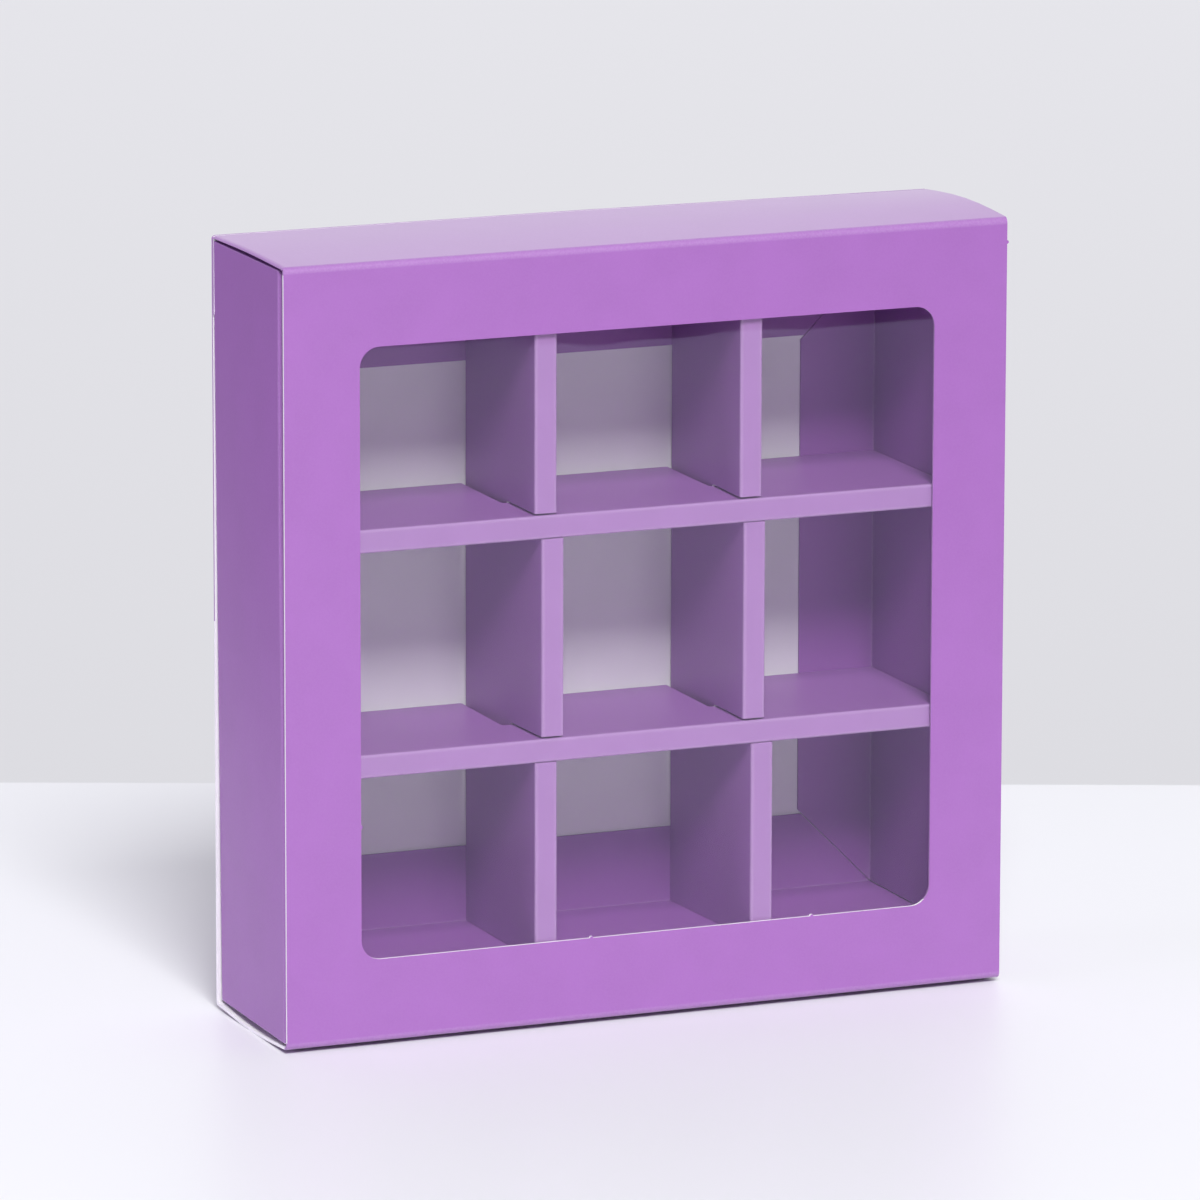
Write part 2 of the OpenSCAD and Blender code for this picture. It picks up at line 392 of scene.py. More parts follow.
def fold_crease_tree():
    """Node group that bends everything past one crease about that crease."""
    name = "fold_crease"
    if name in bpy.data.node_groups:
        return bpy.data.node_groups[name]
    tree, source, result = geometry_tree(name, ("Across", *CREASE_WORDS))
    geometry, across, crease, turn, radius = source.outputs[:5]
    arc = calc(tree, "MULTIPLY", calc(tree, "ABSOLUTE", turn), radius)
    past = calc(tree, "MAXIMUM", calc(tree, "SUBTRACT", across, crease), 0.0)
    along = calc(tree, "MINIMUM", past, arc)
    angle = calc(tree, "DIVIDE", along, radius)
    way = calc(tree, "SIGN", turn)
    rotate = add_node(tree, "ShaderNodeVectorRotate", rotation_type="X_AXIS")
    flat = combine(tree, 0.0, calc(tree, "ADD", crease, along), 0.0)
    position = add_node(tree, "GeometryNodeInputPosition").outputs[0]
    wire(tree, vector_calc(tree, "SUBTRACT", position, flat), rotate.inputs["Vector"])
    wire(tree, calc(tree, "MULTIPLY", angle, calc(tree, "MULTIPLY", way, -1.0)), rotate.inputs["Angle"])
    reach = calc(tree, "MULTIPLY", radius, calc(tree, "SINE", angle))
    fall = calc(tree, "MULTIPLY", radius, calc(tree, "SUBTRACT", 1.0, calc(tree, "COSINE", angle)))
    drop = calc(tree, "MULTIPLY", fall, calc(tree, "MULTIPLY", way, -1.0))
    bent = combine(tree, 0.0, calc(tree, "ADD", crease, reach), drop)
    place = add_node(tree, "GeometryNodeSetPosition")
    wire(tree, geometry, place.inputs["Geometry"])
    wire(tree, vector_calc(tree, "ADD", rotate.outputs[0], bent), place.inputs["Position"])
    wire(tree, place.outputs[0], result.inputs[0])
    return tree


def perforate_tree():
    """Node group that cuts a row of slits across one crease."""
    name = "perforate_crease"
    if name in bpy.data.node_groups:
        return bpy.data.node_groups[name]
    tree, source, result = geometry_tree(name, ("Across", *SLIT_WORDS))
    geometry, across, slit_from, slit_to, pitch, length = source.outputs[:6]
    along = separate(tree, add_node(tree, "GeometryNodeInputPosition").outputs[0])[0]
    phase = calc(tree, "FLOORED_MODULO", along, pitch)
    inside = calc(tree, "LESS_THAN", phase, length)
    below = calc(tree, "LESS_THAN", across, slit_to)
    above = calc(tree, "GREATER_THAN", across, slit_from)
    chosen = calc(tree, "MULTIPLY", inside, calc(tree, "MULTIPLY", below, above))
    delete = add_node(tree, "GeometryNodeDeleteGeometry", domain="FACE")
    wire(tree, geometry, delete.inputs["Geometry"])
    wire(tree, calc(tree, "GREATER_THAN", chosen, 0.5), delete.inputs["Selection"])
    wire(tree, delete.outputs[0], result.inputs[0])
    return tree


def folding_tree(crease_count, perforated):
    """Tree that folds a blank with that many creases, after perforating it where asked."""
    name = f"fold_{crease_count}_creases" + ("_perforated" if perforated else "")
    if name in bpy.data.node_groups:
        return bpy.data.node_groups[name]
    crease_names = [f"{word} {k + 1}" for k in range(crease_count) for word in CREASE_WORDS]
    tree, source, result = geometry_tree(name, [*(SLIT_WORDS if perforated else ()), *crease_names])
    tree.interface.new_socket("Board", in_out="INPUT", socket_type="NodeSocketMaterial")
    attribute = add_node(tree, "GeometryNodeInputNamedAttribute", data_type="FLOAT")
    attribute.inputs["Name"].default_value = ACROSS
    across = attribute.outputs["Attribute"]
    geometry = source.outputs["Geometry"]
    if perforated:
        perforate = add_node(tree, "GeometryNodeGroup", node_tree=perforate_tree())
        wire(tree, geometry, perforate.inputs["Geometry"])
        wire(tree, across, perforate.inputs["Across"])
        for word in SLIT_WORDS:
            wire(tree, source.outputs[word], perforate.inputs[word])
        geometry = perforate.outputs[0]
    for k in reversed(range(crease_count)):
        fold = add_node(tree, "GeometryNodeGroup", node_tree=fold_crease_tree())
        wire(tree, geometry, fold.inputs["Geometry"])
        wire(tree, across, fold.inputs["Across"])
        for word in CREASE_WORDS:
            wire(tree, source.outputs[f"{word} {k + 1}"], fold.inputs[word])
        geometry = fold.outputs[0]
    realize = add_node(tree, "GeometryNodeRealizeInstances")
    paint = add_node(tree, "GeometryNodeSetMaterial")
    wire(tree, geometry, realize.inputs[0])
    wire(tree, realize.outputs[0], paint.inputs["Geometry"])
    wire(tree, source.outputs["Board"], paint.inputs["Material"])
    wire(tree, paint.outputs[0], result.inputs[0])
    return tree


def add_object(name, data):
    """Puts a new object with that name and data in the scene."""
    piece = bpy.data.objects.new(name, data)
    bpy.context.scene.collection.objects.link(piece)
    return piece


def plain_mesh(piece):
    """Turns a piece's modifiers into a plain mesh."""
    graph = bpy.context.evaluated_depsgraph_get()
    mesh = bpy.data.meshes.new_from_object(
        piece.evaluated_get(graph), preserve_all_data_layers=True, depsgraph=graph)
    if not mesh.polygons:
        raise RuntimeError(f"{piece.name} came out without faces")
    piece.modifiers.clear()
    piece.data = mesh
    mesh.name = piece.name
    return mesh


def fold_blank(name, blank, printed, slits=None):
    """Folds a blank with Geometry Nodes and returns it as a thin open sheet."""
    sheet = add_object(name, blank.mesh(name))
    tree = folding_tree(len(blank.creases), slits is not None)
    values = dict(slits or {})
    for k, crease in enumerate(blank.creases):
        for word, value in zip(CREASE_WORDS, crease):
            values[f"{word} {k + 1}"] = value
    values["Board"] = printed
    folds = sheet.modifiers.new("Folds", "NODES")
    folds.node_group = tree
    for item in tree.interface.items_tree:
        if item.in_out == "INPUT" and item.name in values:
            folds[item.identifier] = values[item.name]
    plain_mesh(sheet)
    return sheet


def finish_board(sheet, thickness, finishes, body, nodes, retouch=None):
    """Gives a sheet its thickness and finishes, and lets it stand for its CAD nodes.

    retouch, where there is one, takes a face and returns the index of its finish.
    """
    mesh = sheet.data
    mesh.materials.clear()
    for finish in finishes:
        mesh.materials.append(finish)
    solid = sheet.modifiers.new("Thickness", "SOLIDIFY")
    solid.thickness = thickness
    solid.offset = -1
    solid.use_even_offset = True
    solid.material_offset = 1
    solid.material_offset_rim = 2
    mesh = plain_mesh(sheet)
    for face in mesh.polygons if retouch else ():
        face.material_index = retouch(face)
    mesh.shade_smooth()
    mesh.set_sharp_from_angle(angle=SHARP_ANGLE)
    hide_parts(*nodes)
    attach(sheet, body)


def place_sheet(sheet, x_way, y_way, z_way, origin):
    """Moves a folded sheet from its own axes to the carton's."""
    turn = Matrix((x_way, y_way, z_way)).transposed().to_4x4()
    sheet.data.transform(Matrix.Translation(origin) @ turn)
    sheet.data.update()


def noise_texture(tree, size, detail, stretch=(1, 1, 1)):
    """Noise whose grains are about that size, in metres."""
    source = add_node(tree, "ShaderNodeTexCoord")
    mapping = add_node(tree, "ShaderNodeMapping")
    mapping.inputs["Scale"].default_value = [s / size for s in stretch]
    wire(tree, source.outputs["Object"], mapping.inputs["Vector"])
    texture = add_node(tree, "ShaderNodeTexNoise")
    texture.inputs["Scale"].default_value = 1.0
    texture.inputs["Detail"].default_value = detail
    wire(tree, mapping.outputs[0], texture.inputs["Vector"])
    return texture.outputs["Fac"]


def blend_colours(tree, factor, first, second):
    """Adds a colour Mix node and returns its result. Sockets 6, 7 and 2 are the ones for colours."""
    node = add_node(tree, "ShaderNodeMix", data_type="RGBA")
    wire(tree, factor, node.inputs["Factor"])
    wire(tree, first, node.inputs[6])
    wire(tree, second, node.inputs[7])
    return node.outputs[2]


def map_range(tree, value, low, high, to_low=0.0, to_high=1.0):
    """Adds a Map Range node and returns its result."""
    node = add_node(tree, "ShaderNodeMapRange")
    for socket, number in zip(node.inputs[:5], (value, low, high, to_low, to_high)):
        wire(tree, number, socket)
    return node.outputs[0]


def new_material(name):
    """Material with one Principled shader. Returns the material, its tree and the shader."""
    material = bpy.data.materials.new(name)
    material.use_nodes = True
    tree = material.node_tree
    return material, tree, tree.nodes["Principled BSDF"]


def tinted(colour, factor):
    """A colour made lighter or darker, with full alpha."""
    return (*[min(1.0, c * factor) for c in colour], 1.0)


def lighter(colour, share):
    """A colour moved towards white by a share."""
    return (*[c + (1 - c) * share for c in colour], 1.0)


def mottled(tree, texture, low, high, colour, darkest, lightest):
    """A colour that goes from darker to lighter as a texture goes from low to high."""
    return blend_colours(tree, map_range(tree, texture, low, high),
                         tinted(colour, darkest), tinted(colour, lightest))


def add_bump(tree, shader, height, strength, distance):
    """Roughens a shader's surface by a texture."""
    bump = add_node(tree, "ShaderNodeBump")
    bump.inputs["Strength"].default_value = strength
    bump.inputs["Distance"].default_value = distance
    wire(tree, height, bump.inputs["Height"])
    wire(tree, bump.outputs[0], shader.inputs["Normal"])


def printed_board(name, settings, whiteness, gloss):
    """Violet printed face under a satin varnish, with paper grain and creases lightened partly as worn ink and
    partly as a painted highlight.
    """
    material, tree, shader = new_material(name)
    colour = lighter(settings.printed, whiteness)[:3]
    speckle = noise_texture(tree, 0.35 * MM, 2)
    base = mottled(tree, noise_texture(tree, 9 * MM, 3), 0.35, 0.65, colour, 0.975, 1.025)
    base = blend_colours(tree, map_range(tree, speckle, 0.3, 0.7, 0.0, 0.35), base, lighter(colour, 0.035))
    crease = add_node(tree, "ShaderNodeAttribute", attribute_name=CREASE)
    # Creases are lightened partly for ink worn at the fold and partly as a painted highlight
    wear_and_highlight = calc(tree, "MULTIPLY", crease.outputs["Fac"], map_range(tree, speckle, 0.35, 0.65, 0.3, 0.6))
    base = blend_colours(tree, wear_and_highlight, base, lighter(colour, 0.11))
    wire(tree, base, shader.inputs["Base Color"])
    fibres = noise_texture(tree, 0.4 * MM, 3)
    wire(tree, map_range(tree, fibres, 0.3, 0.7, settings.roughness - 0.03, settings.roughness + 0.03),
         shader.inputs["Roughness"])
    add_bump(tree, shader, fibres, 0.06, 0.02 * MM)
    shader.inputs["Specular IOR Level"].default_value = 0.25 + 0.25 * gloss
    shader.inputs["Coat Weight"].default_value = 0.9 * gloss
    shader.inputs["Coat Roughness"].default_value = 0.30
    return material


def plain_board(name, colour, roughness):
    """Uncoated white face with soft fibres."""
    material, tree, shader = new_material(name)
    fibres = noise_texture(tree, 0.3 * MM, 5, (1, 1, 2.5))
    base = mottled(tree, noise_texture(tree, 6 * MM, 3), 0.3, 0.7, colour, 0.97, 1.02)
    base = blend_colours(tree, map_range(tree, fibres, 0.35, 0.65, 0.0, 0.5), base, tinted(colour, 0.95))
    wire(tree, base, shader.inputs["Base Color"])
    add_bump(tree, shader, fibres, 0.12, 0.03 * MM)
    shader.inputs["Roughness"].default_value = roughness
    shader.inputs["Specular IOR Level"].default_value = 0.25
    return material


def cut_edge(name, colour):
    """Raw edge left by the cutting die, with the layers of the board just showing."""
    material, tree, shader = new_material(name)
    layers = noise_texture(tree, 0.12 * MM, 2)
    wire(tree, mottled(tree, layers, 0.35, 0.65, colour, 0.93, 1.03), shader.inputs["Base Color"])
    shader.inputs["Roughness"].default_value = 0.8
    shader.inputs["Specular IOR Level"].default_value = 0.2
    return material


def clear_film(name, settings):
    """Clear glossy film with a faint veil that is a painted reflection of the bright table, which stops short of the
    window's upper edge.
    """
    material, tree, shader = new_material(name)
    waves = noise_texture(tree, 18 * MM, 1)
    along, _, up = separate(tree, add_node(tree, "ShaderNodeTexCoord").outputs["Object"])
    left, right, _, high, _ = window_opening()
    width = right - left
    # The painted reflection stops in a wavy band just below the window's upper edge, right of the window's first
    # third
    edge = calc(tree, "ADD", up, map_range(tree, waves, 0.3, 0.7, -0.6 * MM, 0.6 * MM))
    upper = map_range(tree, edge, high - 2.5 * MM, high - 1.9 * MM)
    past_left = map_range(tree, along, left + 0.25 * width, left + 0.33 * width)
    clear = calc(tree, "MULTIPLY", upper, past_left)
    # Pale violet painted reflection, near black where the painted reflection stops
    wire(tree, blend_colours(tree, clear, (0.30, 0.27, 0.39, 1), (0.01, 0.01, 0.01, 1)),
         shader.inputs["Base Color"])
    shader.inputs["Alpha"].default_value = settings.reflection_veil
    shader.inputs["IOR"].default_value = 2.0
    wire(tree, map_range(tree, waves, 0.3, 0.7, 0.10, 0.16), shader.inputs["Roughness"])
    return material


def finish_named(name, maker, *args):
    """A material by name, made the first time it is asked for."""
    return bpy.data.materials.get(name) or maker(name, *args)


def board_finishes(printing):
    """Printed face, plain inside face and raw edge, in the order a board piece needs them."""
    settings = bpy.context.scene.carton_board
    return (finish_named(f"violet_{printing}_board", printed_board, settings, *PRINTINGS[printing]),
            finish_named("white_board_face", plain_board, settings.inside, 0.75),
            finish_named("white_board_edge", cut_edge, settings.core))


class CARTON_OT_sleeve(bpy.types.Operator):
    """Fold the sleeve from one blank with a window and a glued seam"""
    bl_idname = "carton.sleeve"
    bl_label = "Make sleeve"

    def execute(self, context):
        shape = context.scene.carton_shape
        board = board_thickness()
        x0, x1 = span("sleeve_back_panel", 0)
        front, back = span("sleeve_bottom_panel", 1)
        top = span("sleeve_back_panel", 2)[1]
        soft = span("sleeve_front_panel", 2)[0]
        flap_end = span("sleeve_glue_flap", 2)[0]
        tight = shape.tight_radius
        depth = back - front
        blank = Blank(x1 - x0, 0.0, shape.grid)
        bottom = blank.fold(top - tight, QUARTER, tight)
        front_start = blank.fold(bottom + depth - tight - soft, QUARTER, soft)
        lid = blank.fold(front_start + top - 2 * soft, QUARTER, soft)
        flap = blank.fold(lid + depth - board - soft - tight, QUARTER, tight)
        blank.width = flap + top - tight - flap_end
        left, right, low, high, corner = window_opening()
        up = front_start - soft
        blank.cut(left - x0, right - x0, up + low, up + high, corner)
        for share in BURRS_BELOW:
            blank.nick(share * blank.length, up + low, 0, shape.nick_height)
        blank.nick(left - x0, up + low + BURR_LEFT * (high - low), shape.nick_height, 0)
        blank.nick(blank.length, front_start + BURR_RIGHT * (top - 2 * soft), shape.nick_height, 0)
        blank.x_marks += [shape.edge_curl * k / ARC_STEPS for k in range(ARC_STEPS + 1)]
        sheet = fold_blank("sleeve_wrap", blank, board_finishes("sleeve")[0])
        place_sheet(sheet, (1, 0, 0), (0, 0, -1), (0, 1, 0), Vector((x0, back, top)))
        self.relax(sheet, shape, Vector((x0, front, 0)), Vector((x1, back, top)))

        def retouch(face):
            """Gives the raw edge a colour between the print and raw board on the top, high up at the back, at the
            front's foot and on the window's right.
            """
            x, y, z = face.center
            on_top = z > top - 1.2 * MM
            high_back = y > back - MM and z > 0.5 * top
            foot = z < 2.5 * MM and y < front + 2 * MM
            window_right = abs(x - right) < MM and y < front + MM
            darkened = on_top or high_back or foot or window_right
            return 3 if face.material_index == 2 and darkened else face.material_index

        finish_board(sheet, board, (*board_finishes("sleeve"), stain_and_shade_edge()), "sleeve",
                     ("sleeve_front_panel", "sleeve_top_panel", "sleeve_back_panel", "sleeve_bottom_panel",
                      "sleeve_glue_flap"), retouch)
        return {"FINISHED"}

    @staticmethod
    def relax(sheet, shape, low, high):
        """Bows the top and bottom panels, and curls the top panel's left edge down."""
        top_start, bottom_end = high.z - 0.2 * MM, 0.5 * MM
        for vert in sheet.data.vertices:
            x, y, z = vert.co
            deep = (y - low.y) / (high.y - low.y)
            bow = math.sin(math.pi * clamp(deep))
            if z > top_start:
                near_end = max(0.0, 1 - (high.x - x) / BULGE_REACH)
                curl = clamp(1 - (x - low.x) / shape.edge_curl)
                vert.co.z += (shape.top_crown + shape.top_bulge * near_end ** BULGE_POWER) * bow
                vert.co.z -= shape.edge_curl * (1 - math.sqrt(1 - curl ** 2)) * CURL_FALL
            drop = shape.back_fold_drop * max(0.0, x / high.x) * deep
            vert.co.z -= drop * max(0.0, z / high.z) ** DROP_POWER
            if z < bottom_end:
                vert.co.z -= shape.bottom_bow * bow
        sheet.data.update()


def stain_and_shade_edge():
    """Cut edge darkened to a colour between the print and the raw edge; on the tray's and the ribs' raw edges it is
    painted shade.
    """
    settings = bpy.context.scene.carton_board
    colour = [(EDGE_PRINT_PARTS * inked + raw) / (EDGE_PRINT_PARTS + 1) for inked, raw in zip(settings.printed, settings.core)]
    return finish_named("stained_board_edge", cut_edge, colour)


def window_opening():
    """Left, right, lower and upper edge of the window, and its corner radius, read from the front panel."""
    points = [v.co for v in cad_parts["sleeve_front_panel"].data.vertices]
    low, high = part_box("sleeve_front_panel")
    inner = [p for p in points if low.x + MM < p.x < high.x - MM]
    x0, x1 = min(p.x for p in inner), max(p.x for p in inner)
    z0, z1 = min(p.z for p in inner), max(p.z for p in inner)
    radius = min(p.x - x0 for p in inner if abs(p.z - z0) < 0.01 * MM)
    return x0, x1, z0, z1, radius


class CARTON_OT_film(bpy.types.Operator):
    """Cut the window film and lay it behind the front panel"""
    bl_idname = "carton.film"
    bl_label = "Make window film"

    def execute(self, context):
        low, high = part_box("window_film")
        step = 4 * MM
        blank = Blank(high.x - low.x, high.z - low.z, step)
        film = finish_named("clear_window_film", clear_film, context.scene.carton_board)
        sheet = fold_blank("window_film_sheet", blank, film)
        place_sheet(sheet, (1, 0, 0), (0, 0, 1), (0, -1, 0), Vector((low.x, low.y, low.z)))
        finish_board(sheet, high.y - low.y, (film, film, film), "sleeve", ("window_film",))
        return {"FINISHED"}


class CARTON_OT_tray(bpy.types.Operator):
    """Fold the tray's four hollow walls and lay its floor"""
    bl_idname = "carton.tray"
    bl_label = "Make tray"

    def execute(self, context):
        board = board_thickness()
        low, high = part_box("tray_floor")
        blank = Blank(high.x - low.x, high.z - low.z, context.scene.carton_shape.grid)
        sheet = fold_blank("tray_floor_board", blank, board_finishes("tray")[0])
        place_sheet(sheet, (1, 0, 0), (0, 0, -1), (0, 1, 0), Vector((low.x, high.y, high.z)))
        lean_left_wall(sheet, context.scene.carton_shape)
        finish_board(sheet, board, board_finishes("tray"), "tray", ("tray_floor",))
        for side in SIDES:
            self.fold_side(context, side)
        for node in [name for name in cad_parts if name.endswith("glue_tab")]:
            self.cut_tab(context, node)
        return {"FINISHED"}

    @staticmethod
    def cut_tab(context, node):
        """One glue tab, with its printed face on the outer wall that it is glued to."""
        low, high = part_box(node)
        blank = Blank(high.y - low.y, high.z - low.z, context.scene.carton_shape.grid)
        sheet = fold_blank(f"{node}_board", blank, board_finishes("tray")[0])
        if low.x < 0:
            place_sheet(sheet, (0, -1, 0), (0, 0, 1), (-1, 0, 0), Vector((low.x, high.y, low.z)))
        else:
            place_sheet(sheet, (0, 1, 0), (0, 0, 1), (1, 0, 0), Vector((high.x, low.y, low.z)))
        lean_left_wall(sheet, context.scene.carton_shape)
        finish_board(sheet, high.x - low.x, board_finishes("tray"), "tray", (node,))

    @staticmethod
    def fold_side(context, side):
        """One hollow side: outer wall, rim, inner wall and the flange on the floor."""
        shape = context.scene.carton_shape
        board = board_thickness()
        floor_low, floor_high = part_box("tray_floor")
        outer_low, outer_high = tray_box()
        flange_low, flange_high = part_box(f"{side}_floor_flange")
        rim_low, rim_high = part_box(f"{side}_rim")
        radius = floor_low.z - outer_low.z
        tight = shape.tight_radius
        upright = side in ("left", "right")
        across = 0 if upright else 2
        rim_w = rim_high[across] - rim_low[across]
        flange_w = flange_high[across] - flange_low[across]
        depth = outer_high.y - outer_low.y
        length = outer_high[2 - across] - outer_low[2 - across]
        bend = shape.reverse_radius
        blank = Blank(length, 0.0, shape.grid)
        outer = blank.fold(radius - tight, QUARTER, tight)
        rim = blank.fold(outer + depth - tight - radius, QUARTER, radius)
        inner = blank.fold(rim + rim_w, QUARTER, radius)
        flange_crease = inner + depth - 2 * board - radius - bend
        flange_start = blank.fold(flange_crease, -QUARTER, bend)
        blank.width = flange_start + flange_w - bend
        count = int(length / shape.slit_pitch)
        for k in range(count + 1):
            blank.x_marks += [k * shape.slit_pitch, k * shape.slit_pitch + shape.slit_length]
        arc = flange_start - flange_crease
        slits = dict(zip(SLIT_WORDS, (flange_crease + SLIT_FROM * arc, flange_crease + SLIT_TO * arc,
                                      shape.slit_pitch, shape.slit_length)))
        sheet = fold_blank(f"tray_{side}_side", blank, board_finishes("tray")[0], slits)
        half = length / 2
        for vert in sheet.data.vertices:
            inward = radius - vert.co.y
            vert.co.x = (vert.co.x - half) * (half - MITRE_GAP - inward) / half
        middle = (outer_low + outer_high) / 2
        back = outer_high.y
        along, outwards, x, z = {
            "lower": ((1, 0, 0), (0, 0, -1), middle.x, floor_low.z),
            "upper": ((-1, 0, 0), (0, 0, 1), middle.x, floor_high.z),
            "left": ((0, 0, -1), (-1, 0, 0), floor_low.x, middle.z),
            "right": ((0, 0, 1), (1, 0, 0), floor_high.x, middle.z)}[side]
        place_sheet(sheet, along, outwards, (0, 1, 0), Vector((x, back, z)))
        lean_left_wall(sheet, shape)
        inner_low, inner_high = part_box(f"{side}_inner_wall")
        clear = 2 * MM

        def retouch(face):
            """Gives the outer wall its own finish, and darkens the raw edges on the top and at the back, where the
            slits are, as painted shade.
            """
            place = face.center[across]
            outside = place < inner_low[across] - clear or place > inner_high[across] + clear
            if face.material_index == 0 and outside:
                return 3
            # Raw edges on the top and at the back get the darkened edge colour, a painted shade
            darkened = face.center.y > back - clear or face.center.z > outer_high.z - clear
            return 4 if face.material_index == 2 and darkened else face.material_index

        nodes = [f"{side}_{part}" for part in ("outer_wall", "rim", "inner_wall", "floor_flange")]
        finishes = (*board_finishes("tray"), board_finishes("wall")[0], stain_and_shade_edge())
        finish_board(sheet, board, finishes, "tray", nodes, retouch)


def lean_left_wall(sheet, shape):
    """Moves the tray's left wall outwards, except at its lower back edge, and sets its front fold back."""
    low, high = tray_box()
    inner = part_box("left_inner_wall")[0].x
    run = 0.9 * (inner - low.x)
    for vert in sheet.data.vertices:
        x, y, z = vert.co
        share = clamp((inner - x) / run)
        deep = (y - low.y) / (high.y - low.y)
        lower = 1 - (z - low.z) / (high.z - low.z)
        # The wall leans out least at its lower back corner
        vert.co.x -= shape.left_wall_shift * share * (1 - 0.7 * deep * lower)
        # The bulge is held by the corners over a fifth of the height at the top and the bottom
        held = min(1.0, 5 * min(lower, 1 - lower))
        vert.co.x -= shape.left_wall_bulge * share * held * math.sin(math.pi * clamp(deep))
        vert.co.y += shape.left_wall_reach * share * deep * (1 - 0.5 * lower)
        # The setback takes in the front quarter of the depth and ends a fifth of the height above the bottom
        front = max(0.0, 1 - 4 * deep)
        vert.co.y += shape.left_wall_setback * share * front * clamp(2.2 * (0.8 - lower))
    sheet.data.update()


def tray_box():
    """Lowest and highest corner of the tray over its four outer walls."""
    boxes = [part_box(f"{side}_outer_wall") for side in SIDES]
    low = Vector([min(b[0][k] for b in boxes) for k in range(3)])
    high = Vector([max(b[1][k] for b in boxes) for k in range(3)])
    return low, high


class CARTON_OT_ribs(bpy.types.Operator):
    """Fold the four ribs and cut the slots where they cross"""
    bl_idname = "carton.ribs"
    bl_label = "Make ribs"

    def execute(self, context):
        cross = [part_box(name) for name in ("lower_cross_rib", "upper_cross_rib")]
        upright = [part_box(name) for name in ("left_upright_rib", "right_upright_rib")]
        for name in ("lower_cross_rib", "upper_cross_rib"):
            self.fold_rib(context, name, 0, [(b[0].x + b[1].x) / 2 for b in upright])
        for name in ("left_upright_rib", "right_upright_rib"):
            self.fold_rib(context, name, 2, [(b[0].z + b[1].z) / 2 for b in cross])
        return {"FINISHED"}

    @staticmethod
    def fold_rib(context, name, along, crossings):
        """One rib, a channel folded from a strip. along is the axis that it runs along."""
        shape = context.scene.carton_shape
        board = board_thickness()
        low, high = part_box(name)
        width = high[2 - along] - low[2 - along]
        depth = high.y - low.y
        radius = shape.tight_radius
        blank = Blank(high[along] - low[along], 0.0, shape.grid)
        face = blank.fold(depth - radius, QUARTER, radius)
        far_wall = blank.fold(face + width - 2 * radius, QUARTER, radius)
        blank.width = far_wall + depth - radius
        slot = depth - SLOT_WHOLE * depth
        for crossing in crossings:
            place = crossing - low[along]
            if along == 0:
                half = width / 2 + shape.slot_play
                blank.cut(place - half, place + half, 0, slot, shape.slot_radius)
                blank.cut(place - half, place + half, blank.width - slot, blank.width, shape.slot_radius)
            else:
                keep = slot - NOTCH_BEHIND
                blank.cut(place - width / 2 - NOTCH_BELOW, place + width / 2 + NOTCH_ABOVE,
                          keep, blank.width - keep, shape.slot_radius)
        sheet = fold_blank(f"{name}_board", blank, board_finishes("rib")[0])
        if along == 0:
            place_sheet(sheet, (1, 0, 0), (0, -1, 0), (0, 0, -1), Vector((low.x, high.y, low.z)))
        else:
            place_sheet(sheet, (0, 0, 1), (0, -1, 0), (1, 0, 0), Vector((high.x, high.y, low.z)))
            lean = shape.left_rib_lean if name.startswith("left") else shape.right_rib_lean
            lean_rib(sheet, low, high, crossings, width, lean)

        def retouch(face):
            """Gives the front its satin face, lightened as a painted sheen, and darkens the raw edges near an
            upright rib's front, where they meet the cross ribs, as painted shade.
            """
            # The front gets a lighter copy of the print, a painted sheen
            if face.material_index == 0 and face.center.y < low.y + radius:
                return 4
            # Raw edges near an upright rib's front get the darkened edge colour, a painted shade
            darkened = along == 2 and face.center.y < low.y + 2 * MM
            return 3 if face.material_index == 2 and darkened else face.material_index

        finishes = (*board_finishes("rib"), stain_and_shade_edge(), board_finishes("rib_front")[0])
        finish_board(sheet, board, finishes, "tray", (name,), retouch)


def lean_rib(sheet, low, high, crossings, width, lean):
    """Leans the front of an upright rib sideways, by its own amount below, between and above the cross ribs."""
    for vert in sheet.data.vertices:
        forward = (high.y - vert.co.y) / (high.y - low.y)
        amount = lean[0]
        for crossing, before, after in zip(crossings, lean, lean[1:]):
            amount += (after - before) * clamp((vert.co.z - crossing + width / 2) / width)
        vert.co.x += amount * forward
    sheet.data.update()


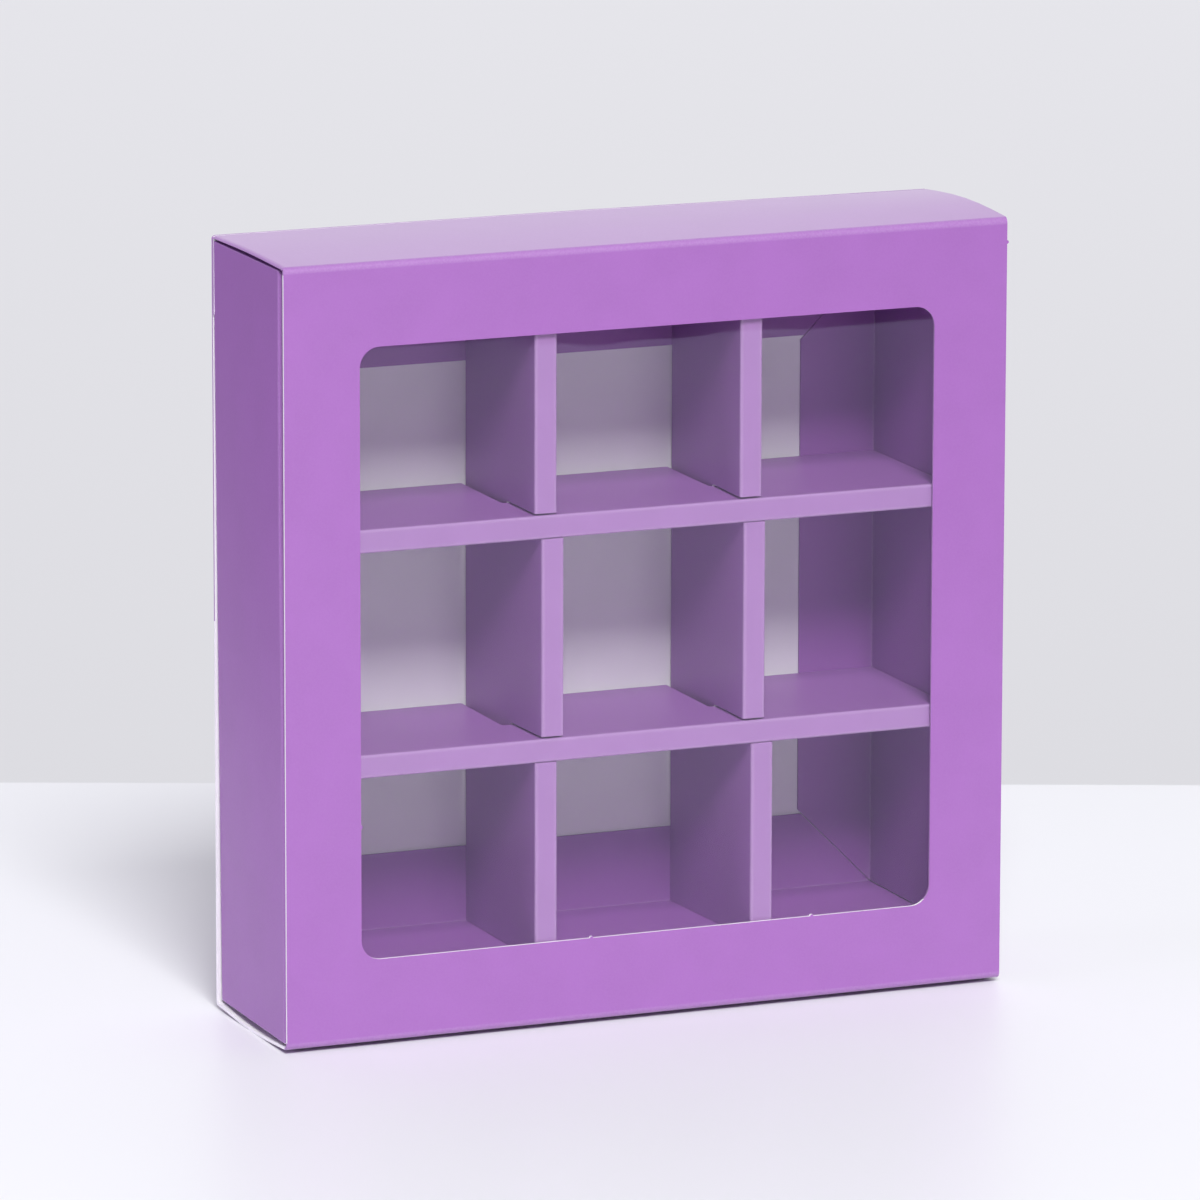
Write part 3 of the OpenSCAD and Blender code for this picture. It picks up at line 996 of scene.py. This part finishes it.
class CARTON_OT_stage(bpy.types.Operator):
    """Set the table, the lights and the camera"""
    bl_idname = "carton.stage"
    bl_label = "Make stage"

    def execute(self, context):
        settings = context.scene.carton_stage
        self.set_camera(context, settings)
        self.set_table(context, settings)
        self.set_lights(context, settings)
        return {"FINISHED"}

    @staticmethod
    def set_camera(context, settings):
        """A long lens, aimed at the middle of the carton."""
        camera = bpy.data.cameras.new("camera")
        camera.sensor_width = 36
        camera.lens = settings.lens
        camera.clip_start, camera.clip_end = 0.05, 50
        holder = add_object("camera", camera)
        ahead = Vector((math.sin(settings.azimuth) * math.cos(settings.elevation),
                        math.cos(settings.azimuth) * math.cos(settings.elevation),
                        -math.sin(settings.elevation)))
        turn = ahead.to_track_quat("-Z", "Y").to_matrix().to_4x4() @ Matrix.Rotation(settings.roll, 4, "Z")
        holder.matrix_world = Matrix.Translation(Vector(settings.aim) - ahead * settings.distance) @ turn
        context.scene.camera = holder

    @staticmethod
    def set_table(context, settings):
        """A pale table, lit from within beyond a line behind the carton, where it stands in for a wall."""
        size = 6.0
        mesh = bpy.data.meshes.new("table_top")
        level = -context.scene.carton_shape.bottom_bow - 0.02 * MM
        corners = [(-size, -size, level), (size, -size, level), (size, size, level), (-size, size, level)]
        mesh.from_pydata(corners, [], [(0, 1, 2, 3)])
        table = add_object("table_top", mesh)
        material, tree, shader = new_material("pale_table")
        source = add_node(tree, "ShaderNodeTexCoord")
        turn = add_node(tree, "ShaderNodeMapping")
        turn.inputs["Rotation"].default_value = (0, 0, settings.azimuth)
        wire(tree, source.outputs["Object"], turn.inputs["Vector"])
        sideways, away, _ = separate(tree, turn.outputs[0])
        beyond = map_range(tree, away, WALL_START, WALL_START + MM)
        # The table darkens to the left and right, and the backdrop's glow falls with it
        aside = map_range(tree, calc(tree, "ABSOLUTE", sideways), 0.20, 0.40)
        near = blend_colours(tree, aside, (*settings.table_near, 1), TABLE_ASIDE)
        wire(tree, blend_colours(tree, beyond, near, (0.03, 0.03, 0.03, 1)), shader.inputs["Base Color"])
        backdrop = map_range(tree, away, WALL_START, WALL_END, *WALL_GLOW)
        backdrop = calc(tree, "MULTIPLY", backdrop, map_range(tree, aside, 0.0, 1.0, 1.0, 0.3))
        wire(tree, calc(tree, "MULTIPLY", beyond, backdrop), shader.inputs["Emission Strength"])
        shader.inputs["Emission Color"].default_value = (0.985, 0.98, 1.035, 1)
        shader.inputs["Roughness"].default_value = 0.4
        shader.inputs["Specular IOR Level"].default_value = 0.3
        mesh.materials.append(material)

    @staticmethod
    def set_lights(context, settings):
        """Soft light from behind and from the right, and three softboxes."""
        scene = context.scene
        scene.view_settings.view_transform = "Standard"
        world = bpy.data.worlds.new("studio")
        scene.world = world
        world.use_nodes = True
        tree = world.node_tree
        right, back, _ = separate(tree, add_node(tree, "ShaderNodeTexCoord").outputs["Generated"])
        # The light is strongest from behind, and grows from the left to the right
        facing = calc(tree, "ADD", calc(tree, "MULTIPLY", right, 0.30), calc(tree, "MULTIPLY", back, 0.95))
        behind = map_range(tree, facing, 0.35, 0.8, 0.0, 0.64)
        rightwards = map_range(tree, right, -0.8, 0.8, 0.16, 0.46)
        tree.nodes["Background"].inputs["Color"].default_value = (0.98, 0.98, 1.03, 1)
        wire(tree, calc(tree, "ADD", behind, rightwards), tree.nodes["Background"].inputs["Strength"])
        aim = Vector((0, 0, 0.07))
        for (name, place, size, colour), watts in zip(SOFTBOXES, settings.powers):
            light = bpy.data.lights.new(name, "AREA")
            light.size = size
            light.energy = watts
            light.color = colour
            holder = add_object(name, light)
            way = aim - Vector(place)
            holder.matrix_world = Matrix.Translation(place) @ way.to_track_quat("-Z", "Y").to_matrix().to_4x4()


class CARTON_PT_panel(bpy.types.Panel):
    """Sidebar panel that lists the carton's pieces"""
    bl_idname = "CARTON_PT_panel"
    bl_label = "Partition carton"
    bl_space_type = "VIEW_3D"
    bl_region_type = "UI"
    bl_category = "Carton"

    def draw(self, context):
        layout = self.layout
        for operator in OPERATORS:
            layout.operator(operator.bl_idname)
        for group in (context.scene.carton_board, context.scene.carton_shape, context.scene.carton_stage):
            box = layout.box()
            for name in group.bl_rna.properties.keys():
                if name not in ("rna_type", "name"):
                    box.prop(group, name)


OPERATORS = (CARTON_OT_sleeve, CARTON_OT_film, CARTON_OT_tray, CARTON_OT_ribs, CARTON_OT_stage)
CLASSES = (CartonBoardSettings, CartonShapeSettings, CartonStageSettings, *OPERATORS, CARTON_PT_panel)


def register():
    """Registers the classes and hangs the settings on the scene."""
    for cls in CLASSES:
        bpy.utils.register_class(cls)
    bpy.types.Scene.carton_board = bpy.props.PointerProperty(type=CartonBoardSettings)
    bpy.types.Scene.carton_shape = bpy.props.PointerProperty(type=CartonShapeSettings)
    bpy.types.Scene.carton_stage = bpy.props.PointerProperty(type=CartonStageSettings)


def unregister():
    """Takes the settings and the classes away again."""
    for name in ("carton_board", "carton_shape", "carton_stage"):
        delattr(bpy.types.Scene, name)
    for cls in reversed(CLASSES):
        bpy.utils.unregister_class(cls)


def main():
    """Builds the carton and its stage."""
    register()
    bpy.ops.carton.sleeve()
    bpy.ops.carton.film()
    bpy.ops.carton.tray()
    bpy.ops.carton.ribs()
    bpy.ops.carton.stage()
    bpy.context.view_layer.update()


if __name__ == "__main__":
    main()
